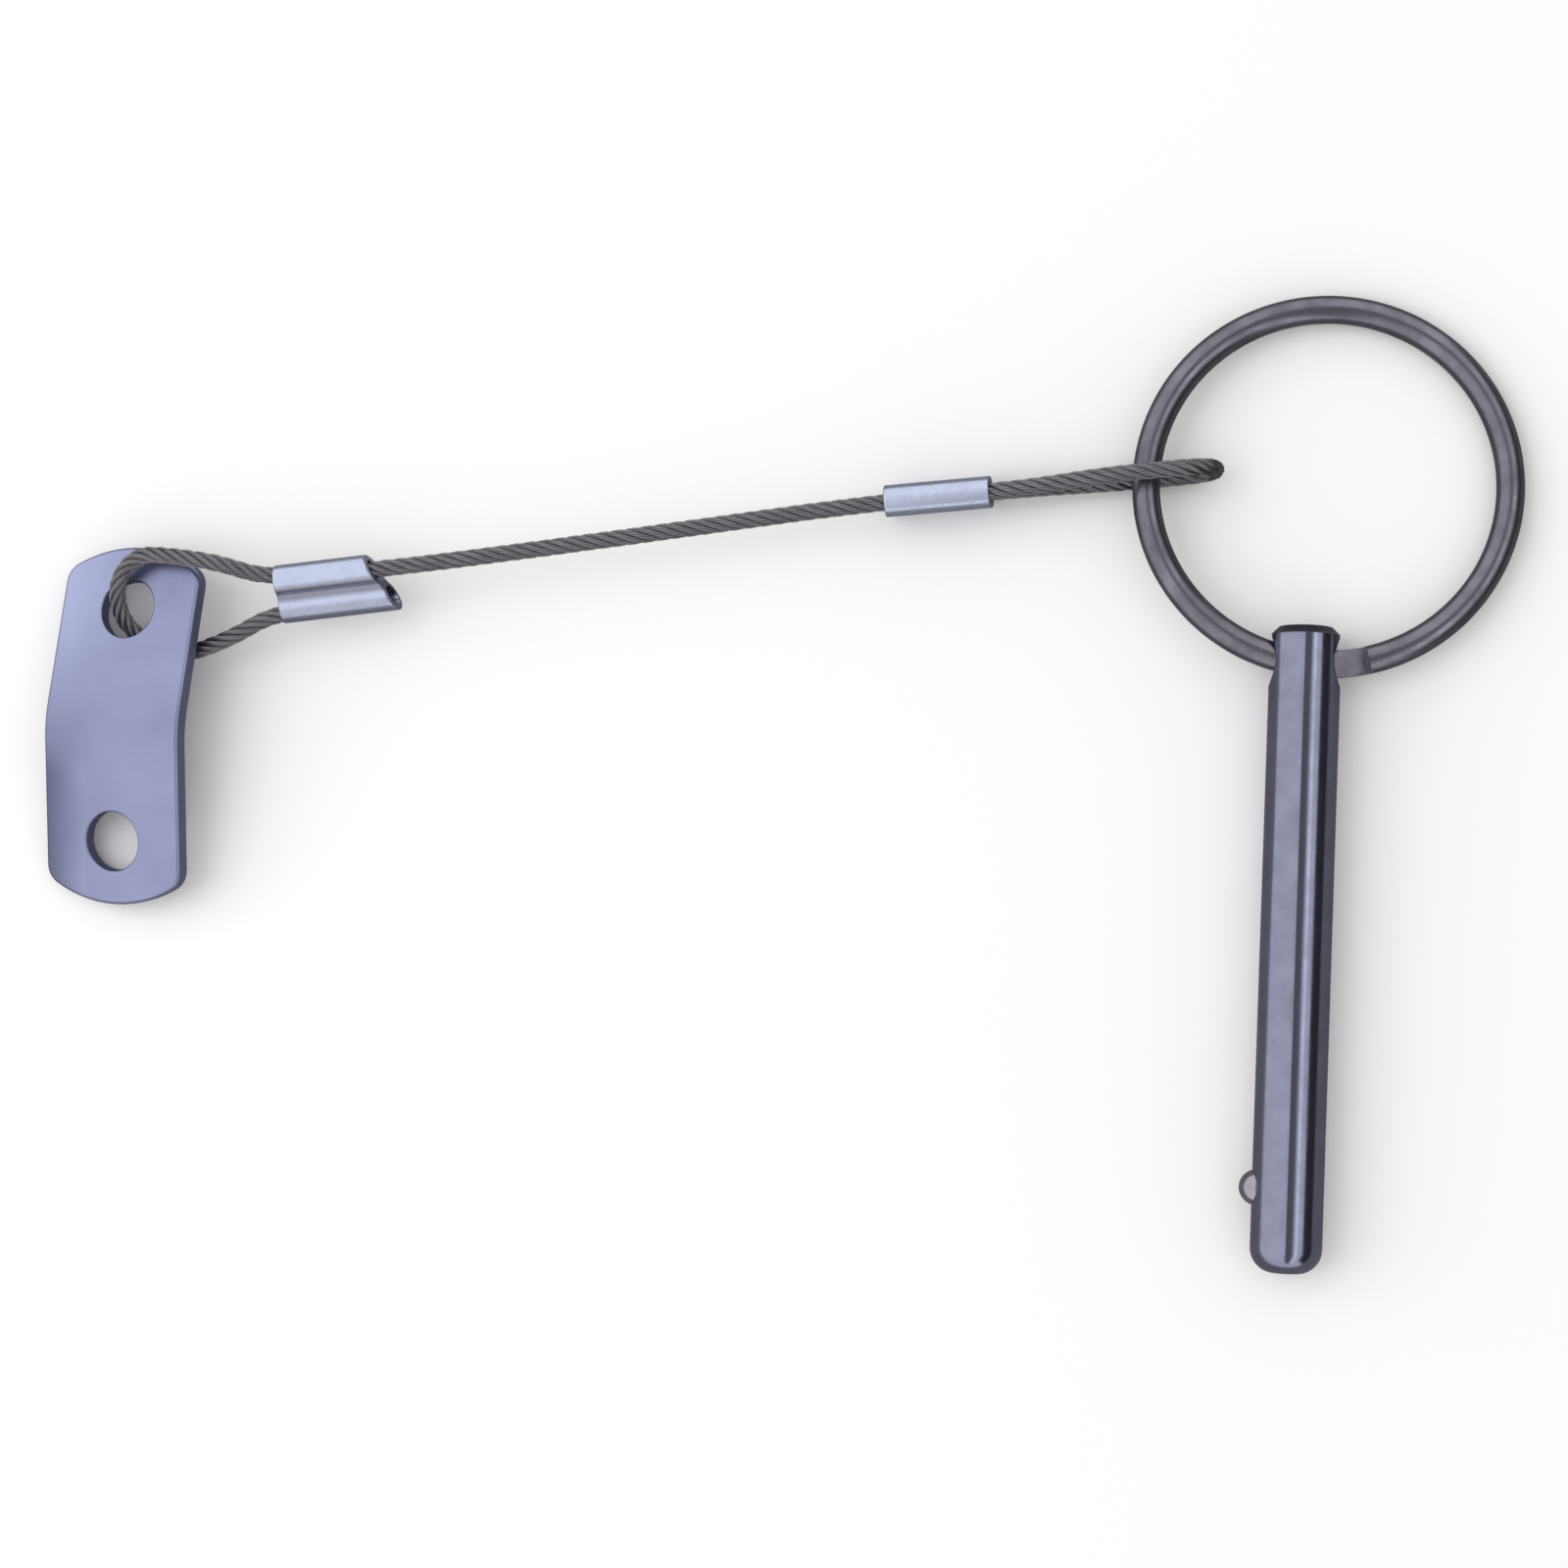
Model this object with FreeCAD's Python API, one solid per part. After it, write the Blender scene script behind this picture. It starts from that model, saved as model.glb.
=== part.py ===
import FreeCAD, Part
import os
from math import acos, atan2, cos, pi, radians, sin, sqrt, tan

from FreeCAD import Matrix, Placement, Rotation, Vector

# Quick release pin: a plain pin with a spring ball near its tip, a split ring
# through its head, and a wire rope lanyard that ends in a bent mounting tab.
# Millimetres. The pin lies along Y with its tip towards -Y, its cross hole's
# axis is X, and the origin is where those two axes cross.

X = Vector(1, 0, 0)
Y = Vector(0, 1, 0)
Z = Vector(0, 0, 1)
ORIGIN = Vector(0, 0, 0)

# Pin
pin_diameter = 6.35
head_length = 2.9
grip_length = 44.0
nose_length = 7.45
head_chamfer = 0.75
tip_rounding = 2.2
hole_lip = 0.2

# Detent ball and its spring
ball_diameter = 3.175
ball_stand_out = 1.15
ball_clearance = 0.05
bore_end_wall = 1.25
spring_wire = 0.28
spring_turns = 4.5
spring_steps = 6
spring_arc_share = 0.49
spring_side_clearance = 0.15
spring_end_clearance = 0.02

# Split ring: two turns of one wire, flat where they meet and rounded outside
ring_inner_diameter = 30.0
wire_width = 2.5
wire_thickness = 1.22
wire_rounding = 0.98
wire_back_rounding = 0.02
turn_gap = 0.06
crossover_place = 4.5
crossover_angle = 20.0
ring_hole_clearance = 1.0
ring_sideways = 1.52
ring_lean_side = 3.18
ring_lean_far = 2.475

# Wire rope and its crimp sleeves
rope_diameter = 1.6
rope_arc_share = 0.45
barrel_diameter = 2.9
barrel_pitch = 2.7
barrel_waist_radius = 0.8
barrel_bore_clearance = 0.24
sleeve_edge = 0.15
ring_sleeve_length = 9.6
tab_sleeve_length = 10.0
tab_sleeve_slant = 25.0
ring_sleeve_x = -33.6
ring_sleeve_y = 14.17
ring_sleeve_z = -0.34
ring_sleeve_axis = Vector(-0.994, -0.110, 0.0)
ring_sleeve_up = Vector(0.019, -0.171, 0.985)
tab_sleeve_x = -89.72
tab_sleeve_y = 4.07
tab_sleeve_z = 1.89
tab_sleeve_axis = Vector(-0.990, -0.140, 0.0)
tab_sleeve_up = Vector(-0.154, 0.861, 0.485)

# Points of the rope's route, from its end in the sleeve at the ring, round the
# ring, along the lanyard, through the tab and back into the other sleeve
rope_route = [
    (-38.0, 13.90, -1.68),
    (-26.4, 15.20, -1.68),
    (-18.6, 15.95, -2.375),
    (-8.5, 17.05, -2.375),
    (-8.5, 17.05, 2.70),
    (-17.2, 16.05, 2.95),
    (-26.5, 14.72, 0.99),
    (-40.2, 13.15, 0.99),
    (-61.0, 9.65, 1.75),
    (-82.9, 6.12, 2.55),
    (-95.4, 4.70, 2.60),
    (-100.2, 6.00, 3.72),
    (-104.6, 6.55, 3.38),
    (-108.5, 6.85, 2.45),
    (-110.65, 4.15, 1.95),
    (-110.7, 1.10, -0.10),
    (-108.7, -0.95, -1.35),
    (-104.6, -2.55, 0.0),
    (-99.3, -0.75, 1.15),
    (-94.9, 1.98, 1.24),
    (-85.8, 3.46, 1.24),
]

# Mounting tab: a round-ended plate bent across its middle
tab_width = 14.6
tab_length = 34.2
tab_thickness = 1.5
tab_bend_angle = 18.3
tab_bend_radius = 12.0
tab_end_rise = 2.35
tab_corner = 2.1
tab_front_edge = 0.5
tab_back_edge = 0.2
tab_hole_edge = 0.25
tab_hole_diameter = 5.6
tab_hole_from_end = 6.0
tab_x = -110.16
tab_y = -9.21
tab_z = 2.53
tab_turn = -1.9
tab_roll = -13.2
tab_pitch = 2.4

ring_sleeve_centre = Vector(ring_sleeve_x, ring_sleeve_y, ring_sleeve_z)
tab_sleeve_centre = Vector(tab_sleeve_x, tab_sleeve_y, tab_sleeve_z)

pin_radius = pin_diameter / 2
ball_radius = ball_diameter / 2
ball_x = -(pin_radius + ball_stand_out - ball_radius)
ball_chord = sqrt(ball_radius**2 - (pin_radius + ball_x) ** 2)

ring_radius = (ring_inner_diameter + wire_width) / 2
ring_reach = sqrt(ring_radius**2 - (pin_radius + ring_sideways) ** 2)
ring_sag = ring_radius - ring_reach
ring_y = ring_radius - ring_sag / 2
cross_hole_radius = (wire_width + ring_hole_clearance) / 2

ball_y = -(ring_sag / 2 + wire_width / 2 + grip_length + ball_chord)
tip_y = ball_y - nose_length


def solid_of(shape):
    """The one solid that a boolean or a sweep leaves, with its seams merged."""
    solid = shape.removeSplitter().Solids[0]
    return solid


def turned(profile_wire, base, axis, angle):
    return Part.Face(profile_wire).revolve(base, axis, angle)


def cross_hole():
    """The ring's hole through the head, with broken edges at both mouths."""
    depth = pin_radius + 1
    mouth_x = sqrt(pin_radius**2 - cross_hole_radius**2)
    points = [
        Vector(-depth, 0, 0),
        Vector(-depth, cross_hole_radius + hole_lip + depth - mouth_x, 0),
        Vector(-mouth_x + hole_lip, cross_hole_radius, 0),
        Vector(mouth_x - hole_lip, cross_hole_radius, 0),
        Vector(depth, cross_hole_radius + hole_lip + depth - mouth_x, 0),
        Vector(depth, 0, 0),
    ]
    return turned(Part.makePolygon(points + points[:1]), ORIGIN, X, 360)


def ball_bore():
    """The blind bore behind the ball, closed round it by a staked rim."""
    radius = ball_radius + ball_clearance
    length = pin_radius - bore_end_wall - ball_x
    centre = Vector(ball_x, ball_y, 0)
    barrel = Part.makeCylinder(radius, length, centre, X)
    return barrel.fuse(Part.makeSphere(radius, centre))


def pin_body():
    length = head_length - tip_y
    shank = Part.makeCylinder(pin_radius, length, Vector(0, tip_y, 0), Y)
    head_edge = [e for e in shank.Edges if e.BoundBox.YMin > head_length - 0.01]
    shank = shank.makeChamfer(head_chamfer, head_edge)
    tip_edge = [e for e in shank.Edges if e.BoundBox.YMax < tip_y + 0.01]
    shank = shank.makeFillet(tip_rounding, tip_edge)
    return solid_of(shank.cut(cross_hole()).cut(ball_bore()))


def detent_ball():
    return Part.makeSphere(ball_radius, Vector(ball_x, ball_y, 0))


def arc_path(points, share):
    """Straight runs joined by tangent arcs, each cutting off a share of its shorter run."""
    edges = []
    radii = []
    start = points[0]
    for before, corner, after in zip(points, points[1:], points[2:]):
        into = corner - before
        out = after - corner
        cut = share * min(into.Length, out.Length)
        into.normalize()
        out.normalize()
        turn = acos(max(-1.0, min(1.0, into.dot(out))))
        radius = cut / tan(turn / 2)
        first = corner - into * cut
        last = corner + out * cut
        inward = (out - into).normalize()
        middle = corner + inward * (radius / cos(turn / 2) - radius)
        edges.append(Part.LineSegment(start, first).toShape())
        edges.append(Part.Arc(first, middle, last).toShape())
        radii.append(radius)
        start = last
    edges.append(Part.LineSegment(start, points[-1]).toShape())
    return Part.Wire(edges), radii


def detent_spring():
    """The coil spring between the ball's back and the bore's floor."""
    coil_radius = ball_radius + ball_clearance - spring_side_clearance - spring_wire / 2
    half_wire = spring_wire / 2
    touch = (ball_radius + half_wire + spring_end_clearance) ** 2 - coil_radius**2
    start = ball_x + sqrt(touch)
    end = pin_radius - bore_end_wall - half_wire - spring_end_clearance
    rise_per_step = (end - start) / (spring_turns * spring_steps)
    corner_radius = coil_radius / cos(pi / spring_steps)
    points = []
    for k in range(int(spring_turns * spring_steps) + 1):
        turn = 2 * pi * k / spring_steps
        across = Vector(0, cos(turn), sin(turn)) * corner_radius
        points.append(Vector(start + k * rise_per_step, ball_y, 0) + across)
    points[0] = (points[0] + points[1]) / 2
    points[-1] = (points[-2] + points[-1]) / 2
    path, _ = arc_path(points, spring_arc_share)
    heading = (points[1] - points[0]).normalize()
    section = Part.Wire(Part.makeCircle(half_wire, points[0], heading))
    return path.makePipeShell([section], True, False)


def wire_section(level, side):
    """The wire's section in the XZ plane, its rounded side up at 1 and down at -1."""
    half_w = wire_width / 2
    half_t = wire_thickness / 2
    top_height = wire_back_rounding + wire_rounding * (1 + side) / 2
    bottom_height = wire_back_rounding + wire_rounding * (1 - side) / 2

    def at(x, z):
        return Vector(ring_radius + x, 0, level + z)

    high = half_t - top_height
    low = bottom_height - half_t
    edges = [
        Part.LineSegment(at(half_w, low), at(half_w, high)),
        Part.Arc(at(half_w, high), at(0, half_t), at(-half_w, high)),
        Part.LineSegment(at(-half_w, high), at(-half_w, low)),
        Part.Arc(at(-half_w, low), at(0, -half_t), at(half_w, low)),
    ]
    return Part.Wire([e.toShape() for e in edges])


def crossover(level):
    """The stretch where the wire drops from the upper turn to the lower one."""
    steps = 8
    sections = []
    for k in range(steps + 1):
        share = k / steps
        side = 1 - 2 * share * share * (3 - 2 * share)
        section = wire_section(side * level, side)
        section.rotate(ORIGIN, Z, (share - 0.5) * crossover_angle)
        sections.append(section)
    return Part.makeLoft(sections, True, True)


def ring_placement():
    """From the ring's own plane, centred, to its place through the cross hole."""
    lean = Rotation(Y, ring_lean_side).multiply(Rotation(X, -ring_lean_far))
    near = Vector(-ring_sideways, -ring_y, 0)
    centre = lean.multVec(near).negative()
    return Placement(centre, lean)


def split_ring():
    level = (wire_thickness + turn_gap) / 2
    start = crossover_angle / 2
    turns = []
    for side in (-1, 1):
        section = wire_section(side * level, side)
        section.rotate(ORIGIN, Z, start)
        turns.append(turned(section, ORIGIN, Z, 360 - crossover_angle))
    wire = turns[0].fuse([turns[1], crossover(level)])
    ring = solid_of(wire)
    ring.rotate(ORIGIN, Z, crossover_place - 90)
    ring.Placement = ring_placement().multiply(ring.Placement)
    return ring


def wire_rope():
    points = [Vector(*p) for p in rope_route]
    path, radii = arc_path(points, rope_arc_share)
    heading = (points[1] - points[0]).normalize()
    section = Part.Wire(Part.makeCircle(rope_diameter / 2, points[0], heading))
    rope = path.makePipeShell([section], True, False)
    print("rope radii", [round(r, 1) for r in radii])
    print("rope length", round(path.Length, 1))
    print("rope volume", round(rope.Volume, 2), round(pi * rope_diameter**2 / 4 * path.Length, 2))
    return rope


def sleeve_outline():
    """The figure-8 section of a crimp sleeve, barrels along Y, in the XY plane."""
    r = barrel_diameter / 2
    w = barrel_waist_radius
    half = barrel_pitch / 2
    waist_x = sqrt((r + w) ** 2 - half**2)
    touch = r / (r + w)
    edges = []
    for side in (1, -1):
        low = Vector(side * waist_x * touch, -side * half * (1 - touch), 0)
        high = Vector(side * waist_x * touch, side * half * (1 - touch), 0)
        pinch = Vector(side * (waist_x - w), 0, 0)
        crown = Vector(0, side * (half + r), 0)
        other = Vector(-side * waist_x * touch, side * half * (1 - touch), 0)
        edges.append(Part.Arc(low, pinch, high).toShape())
        edges.append(Part.Arc(high, crown, other).toShape())
    return Part.Wire(edges)


def lies_in_plane(edge, base, normal):
    return all(abs((point - base).dot(normal)) < 0.001 for point in edge.discretize(5))


def sleeve(centre, axis, up, length, slant):
    """A figure-8 sleeve with two rope bores, its barrels stacked along up.

    Its first end is cut at a slant, which leaves the lower barrel the longer one.
    """
    spare = barrel_diameter * tan(radians(slant)) + 1
    body = Part.Face(sleeve_outline()).extrude(Z * (length + spare))
    body.translate(Z * -spare)
    waste = Part.makeBox(4 * barrel_pitch, 4 * barrel_pitch, 2 * spare)
    waste.translate(Vector(-2 * barrel_pitch, -2 * barrel_pitch, -2 * spare))
    waste.rotate(ORIGIN, X, slant)
    body = body.cut(waste)
    first_normal = Rotation(X, slant).multVec(Z)
    rims = [
        e
        for e in body.Edges
        if lies_in_plane(e, ORIGIN, first_normal) or lies_in_plane(e, Z * length, Z)
    ]
    body = body.makeFillet(sleeve_edge, rims)
    bore_radius = (rope_diameter + barrel_bore_clearance) / 2
    for side in (1, -1):
        base = Vector(0, side * barrel_pitch / 2, -spare)
        body = body.cut(Part.makeCylinder(bore_radius, length + spare, base, Z))
    along = Vector(axis).normalize()
    level = (up - along * up.dot(along)).normalize()
    across = level.cross(along)
    matrix = Matrix(
        across.x, level.x, along.x, 0,
        across.y, level.y, along.y, 0,
        across.z, level.z, along.z, 0,
        0, 0, 0, 1,
    )
    seat = Placement(matrix)
    seat.Base = centre - along * (length / 2)
    body.Placement = seat
    return solid_of(body)


def ring_end_sleeve():
    return sleeve(ring_sleeve_centre, ring_sleeve_axis, ring_sleeve_up, ring_sleeve_length, 0)


def tab_end_sleeve():
    centre = tab_sleeve_centre
    return sleeve(centre, tab_sleeve_axis, tab_sleeve_up, tab_sleeve_length, tab_sleeve_slant)


def tab_half():
    """One flat half of the tab with its hole, from the bend's edge along +Y."""
    half_w = tab_width / 2
    flat = tab_length / 2 - tab_bend_radius * radians(tab_bend_angle) / 2
    shoulder = flat - tab_end_rise
    left = Vector(-half_w, shoulder, 0)
    right = Vector(half_w, shoulder, 0)
    crown = Vector(0, flat, 0)
    edges = [
        Part.LineSegment(Vector(-half_w, 0, 0), Vector(half_w, 0, 0)),
        Part.LineSegment(Vector(half_w, 0, 0), right),
        Part.Arc(right, crown, left),
        Part.LineSegment(left, Vector(-half_w, 0, 0)),
    ]
    face = Part.Face(Part.Wire([e.toShape() for e in edges]))
    plate = face.extrude(Z * -tab_thickness)
    corners = [
        e
        for e in plate.Edges
        if e.BoundBox.ZLength > tab_thickness / 2 and e.BoundBox.YMin > shoulder - 0.01
    ]
    plate = plate.makeFillet(tab_corner, corners)
    hole_centre = Vector(0, flat - tab_hole_from_end, -tab_thickness)
    return plate.cut(Part.makeCylinder(tab_hole_diameter / 2, tab_thickness, hole_centre, Z))


def mounting_tab():
    """The plate bent across its middle, outer side of the bend up."""
    half_angle = tab_bend_angle / 2
    bend_centre = Vector(0, 0, -tab_bend_radius)
    section = Part.makePolygon(
        [
            Vector(-tab_width / 2, 0, 0),
            Vector(tab_width / 2, 0, 0),
            Vector(tab_width / 2, 0, -tab_thickness),
            Vector(-tab_width / 2, 0, -tab_thickness),
            Vector(-tab_width / 2, 0, 0),
        ]
    )
    section.rotate(bend_centre, X, half_angle)
    pieces = [turned(section, bend_centre, X, -tab_bend_angle)]
    for mirror in (0, 180):
        half = tab_half()
        half.rotate(bend_centre, X, -half_angle)
        half.rotate(ORIGIN, Z, mirror)
        pieces.append(half)
    tab = solid_of(pieces[0].fuse(pieces[1:]))
    for radius, chosen in (
        (tab_front_edge, on_front_outline),
        (tab_back_edge, on_back_outline),
        (tab_hole_edge, on_hole_rim),
    ):
        tab = tab.makeFillet(radius, [e for e in tab.Edges if chosen(e)])
    turn = Rotation(Z, tab_turn).multiply(Rotation(Y, tab_roll)).multiply(Rotation(X, tab_pitch))
    tab.Placement = Placement(Vector(tab_x, tab_y, tab_z), turn)
    return tab


def plate_depth(point):
    """How far a point of the bent plate lies below the plate's front."""
    height = point.z + tab_bend_radius
    lean = min(atan2(abs(point.y), height), radians(tab_bend_angle) / 2)
    return tab_bend_radius - abs(point.y) * sin(lean) - height * cos(lean)


def lies_at_depth(edge, depth):
    return all(abs(plate_depth(point) - depth) < 0.001 for point in edge.discretize(5))


def on_outline(edge, depth):
    """Is this edge part of the tab's outline at a depth, and no hole or bend line?"""
    crosses_width = edge.BoundBox.XLength > tab_width - 0.01
    return lies_at_depth(edge, depth) and not edge.isClosed() and not crosses_width


def on_front_outline(edge):
    return on_outline(edge, 0)


def on_back_outline(edge):
    return on_outline(edge, tab_thickness)


def on_hole_rim(edge):
    flat = lies_at_depth(edge, 0) or lies_at_depth(edge, tab_thickness)
    return flat and edge.isClosed()


nodes = {
    "pin_body": pin_body,
    "detent_ball": detent_ball,
    "detent_spring": detent_spring,
    "split_ring": split_ring,
    "wire_rope": wire_rope,
    "sleeve_ring_end": ring_end_sleeve,
    "sleeve_tab_end": tab_end_sleeve,
    "mounting_tab": mounting_tab,
}

os.makedirs("parts", exist_ok=True)
for name, make in nodes.items():
    shape = make()
    if not shape.isValid() or shape.Volume <= 0:
        raise ValueError(name + " isn't a valid solid")
    shape.exportStep("parts/" + name + ".step")
    box = shape.BoundBox
    print(name, len(shape.Solids), round(shape.Volume, 2), box)
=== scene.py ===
from math import cos, pi, radians, tau

import bpy
from mathutils import Matrix, Vector


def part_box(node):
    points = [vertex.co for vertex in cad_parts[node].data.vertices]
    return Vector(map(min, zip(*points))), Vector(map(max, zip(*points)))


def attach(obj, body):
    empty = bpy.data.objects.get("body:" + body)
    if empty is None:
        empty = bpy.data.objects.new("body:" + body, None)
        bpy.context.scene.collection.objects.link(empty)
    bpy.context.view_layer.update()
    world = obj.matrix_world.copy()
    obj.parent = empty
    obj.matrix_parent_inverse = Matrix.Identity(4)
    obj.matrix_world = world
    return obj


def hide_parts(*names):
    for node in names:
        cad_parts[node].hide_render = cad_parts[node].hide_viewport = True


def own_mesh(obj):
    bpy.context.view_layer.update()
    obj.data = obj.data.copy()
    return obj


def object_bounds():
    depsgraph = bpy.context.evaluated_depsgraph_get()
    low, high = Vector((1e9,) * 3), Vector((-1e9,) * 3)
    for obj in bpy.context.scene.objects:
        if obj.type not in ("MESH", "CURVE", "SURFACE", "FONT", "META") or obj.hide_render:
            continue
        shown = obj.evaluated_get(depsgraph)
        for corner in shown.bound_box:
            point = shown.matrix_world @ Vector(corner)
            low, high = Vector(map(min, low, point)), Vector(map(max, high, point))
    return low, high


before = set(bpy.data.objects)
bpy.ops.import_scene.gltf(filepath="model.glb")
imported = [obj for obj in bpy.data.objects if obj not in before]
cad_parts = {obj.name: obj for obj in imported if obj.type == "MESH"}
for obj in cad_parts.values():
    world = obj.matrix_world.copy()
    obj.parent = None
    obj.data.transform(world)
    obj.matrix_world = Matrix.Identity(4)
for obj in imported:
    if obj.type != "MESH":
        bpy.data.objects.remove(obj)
cad_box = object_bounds()

bl_info = {
    "name": "Quick Release Pin",
    "version": (1, 0, 0),
    "blender": (4, 5, 0),
    "location": "View3D > Sidebar > Quick Pin",
    "description": "Wire rope, split ring and metal finishes of a quick release pin and its lanyard",
    "category": "Object",
}

MM = 0.001

# The rope's route in the frame of the part, in millimetres: from its end in the
# sleeve at the ring, round the ring, along the lanyard, through the tab and back
rope_route = [
    (-38.0, 13.90, -1.68),
    (-26.4, 15.20, -1.68),
    (-18.6, 15.95, -2.375),
    (-8.5, 17.05, -2.375),
    (-8.5, 17.05, 2.70),
    (-17.2, 16.05, 2.95),
    (-26.5, 14.72, 0.99),
    (-40.2, 13.15, 0.99),
    (-61.0, 9.65, 1.75),
    (-82.9, 6.12, 2.55),
    (-95.4, 4.70, 2.60),
    (-100.2, 6.00, 3.72),
    (-104.6, 6.55, 3.38),
    (-108.5, 6.85, 2.45),
    (-110.65, 4.15, 1.95),
    (-110.7, 1.10, -0.10),
    (-108.7, -0.95, -1.35),
    (-104.6, -2.55, 0.0),
    (-99.3, -0.75, 1.15),
    (-94.9, 1.98, 1.24),
    (-85.8, 3.46, 1.24),
]


class StageSettings(bpy.types.PropertyGroup):
    """The camera, the floor and the light."""

    lens: bpy.props.FloatProperty(
        name="Lens", description="Focal length on a 36 mm sensor, in millimetres", default=81.0
    )
    camera_place: bpy.props.FloatVectorProperty(
        name="Camera place",
        description="Where the camera stands",
        default=(0.00224, -0.03705, 0.31733),
        subtype="TRANSLATION",
        unit="LENGTH",
    )
    camera_turn: bpy.props.FloatVectorProperty(
        name="Camera turn",
        description="How the camera is turned from looking straight down",
        default=(radians(4.729), radians(8.563), radians(2.538)),
        subtype="EULER",
    )
    floor_colour: bpy.props.FloatVectorProperty(
        name="Floor colour",
        description="Colour of the floor and of the room",
        default=(0.97, 0.97, 0.97),
        subtype="COLOR",
    )
    floor_size: bpy.props.FloatProperty(
        name="Floor size", description="Side of the square floor", default=6.0, unit="LENGTH"
    )
    room_level: bpy.props.FloatProperty(
        name="Room level", description="Brightness of the room's light", default=0.88
    )
    softbox_power: bpy.props.FloatProperty(
        name="Softbox power",
        description="Power of the large lamp at the left, in watts",
        default=1.7,
    )


class RopeSettings(bpy.types.PropertyGroup):
    """Six strands of seven wires round a core strand."""

    diameter: bpy.props.FloatProperty(
        name="Diameter", description="Diameter over the strands", default=1.6 * MM, unit="LENGTH"
    )
    strand_lay: bpy.props.FloatProperty(
        name="Strand lay",
        description="Length in which a strand goes round once",
        default=8.2 * MM,
        unit="LENGTH",
    )
    wire_lay: bpy.props.FloatProperty(
        name="Wire lay",
        description="Length in which a wire goes round its strand",
        default=4.2 * MM,
        unit="LENGTH",
    )
    step: bpy.props.FloatProperty(
        name="Step",
        description="Distance between two sections of a wire",
        default=0.5 * MM,
        unit="LENGTH",
    )
    colour: bpy.props.FloatVectorProperty(
        name="Colour",
        description="Colour of the bright wire",
        default=(0.375, 0.36, 0.385),
        subtype="COLOR",
    )
    shade: bpy.props.FloatVectorProperty(
        name="Shade",
        description="Colour of the dull wire",
        default=(0.25, 0.24, 0.262),
        subtype="COLOR",
    )


class RingSettings(bpy.types.PropertyGroup):
    """The split ring's wire and how the ring leans."""

    inner_diameter: bpy.props.FloatProperty(
        name="Inner diameter",
        description="Diameter inside the ring",
        default=30 * MM,
        unit="LENGTH",
    )
    wire_width: bpy.props.FloatProperty(
        name="Wire width",
        description="Width of the flattened wire",
        default=2.494 * MM,
        unit="LENGTH",
    )
    wire_thickness: bpy.props.FloatProperty(
        name="Wire thickness",
        description="Thickness of the flattened wire",
        default=1.22 * MM,
        unit="LENGTH",
    )
    wire_rounding: bpy.props.FloatProperty(
        name="Wire rounding",
        description="Rise of the wire's rounded side",
        default=0.98 * MM,
        unit="LENGTH",
    )
    wire_back_rounding: bpy.props.FloatProperty(
        name="Wire back rounding",
        description="Rise of the wire's flat side",
        default=0.02 * MM,
        unit="LENGTH",
    )
    turn_gap: bpy.props.FloatProperty(
        name="Turn gap", description="Gap between the two turns", default=0.06 * MM, unit="LENGTH"
    )
    crossover_place: bpy.props.FloatProperty(
        name="Crossover place",
        description="Where the wire changes turns",
        default=radians(-85.5),
        subtype="ANGLE",
    )
    crossover_angle: bpy.props.FloatProperty(
        name="Crossover angle",
        description="Arc of the change between turns",
        default=radians(20),
        subtype="ANGLE",
    )
    lean_side: bpy.props.FloatProperty(
        name="Lean to the side",
        description="Turn of the ring about Y",
        default=radians(3.18),
        subtype="ANGLE",
    )
    lean_far: bpy.props.FloatProperty(
        name="Lean to the far side",
        description="Turn of the ring about X",
        default=radians(-2.475),
        subtype="ANGLE",
    )
    centre: bpy.props.FloatVectorProperty(
        name="Centre",
        description="Where the middle of the ring lies",
        default=(1.480 * MM, 15.888 * MM, -0.770 * MM),
        subtype="TRANSLATION",
        unit="LENGTH",
    )
    colour: bpy.props.FloatVectorProperty(
        name="Colour",
        description="Colour of the bright wire",
        default=(0.30, 0.29, 0.345),
        subtype="COLOR",
    )
    shade: bpy.props.FloatVectorProperty(
        name="Shade",
        description="Colour of its dull patches",
        default=(0.175, 0.165, 0.20),
        subtype="COLOR",
    )


class PinSettings(bpy.types.PropertyGroup):
    """Finish of the pin and its ball, with a painted dark reflection on the pin's end."""

    colour: bpy.props.FloatVectorProperty(
        name="Colour",
        description="Colour of the ground steel",
        default=(0.365, 0.375, 0.52),
        subtype="COLOR",
    )
    shade: bpy.props.FloatVectorProperty(
        name="Shade",
        description="Colour of its dull patches",
        default=(0.28, 0.28, 0.38),
        subtype="COLOR",
    )
    roughness: bpy.props.FloatProperty(
        name="Roughness",
        description="Roughness of the ground steel",
        default=0.11,
        subtype="FACTOR",
    )
    # Painted dark reflection on the pin's end above the ring, not a colour of the steel
    painted_end_reflection: bpy.props.FloatVectorProperty(
        name="End colour",
        description="Colour of the turned end above the ring",
        default=(0.08, 0.07, 0.08),
        subtype="COLOR",
    )
    ball_colour: bpy.props.FloatVectorProperty(
        name="Ball colour",
        description="Colour of the polished ball",
        default=(0.50, 0.49, 0.53),
        subtype="COLOR",
    )


class SpringSettings(bpy.types.PropertyGroup):
    """The coil spring behind the ball."""

    wire: bpy.props.FloatProperty(
        name="Wire", description="Diameter of the spring's wire", default=0.28 * MM, unit="LENGTH"
    )
    turns: bpy.props.FloatProperty(name="Turns", description="Number of turns", default=13 / 3)
    pressed: bpy.props.FloatProperty(
        name="Pressed",
        description="Share of its length left when the ball is in",
        default=0.65,
        subtype="FACTOR",
    )
    colour: bpy.props.FloatVectorProperty(
        name="Colour", description="Colour of the wire", default=(0.45, 0.45, 0.48), subtype="COLOR"
    )
    shade: bpy.props.FloatVectorProperty(
        name="Shade",
        description="Colour in its draw marks",
        default=(0.30, 0.30, 0.33),
        subtype="COLOR",
    )


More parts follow.
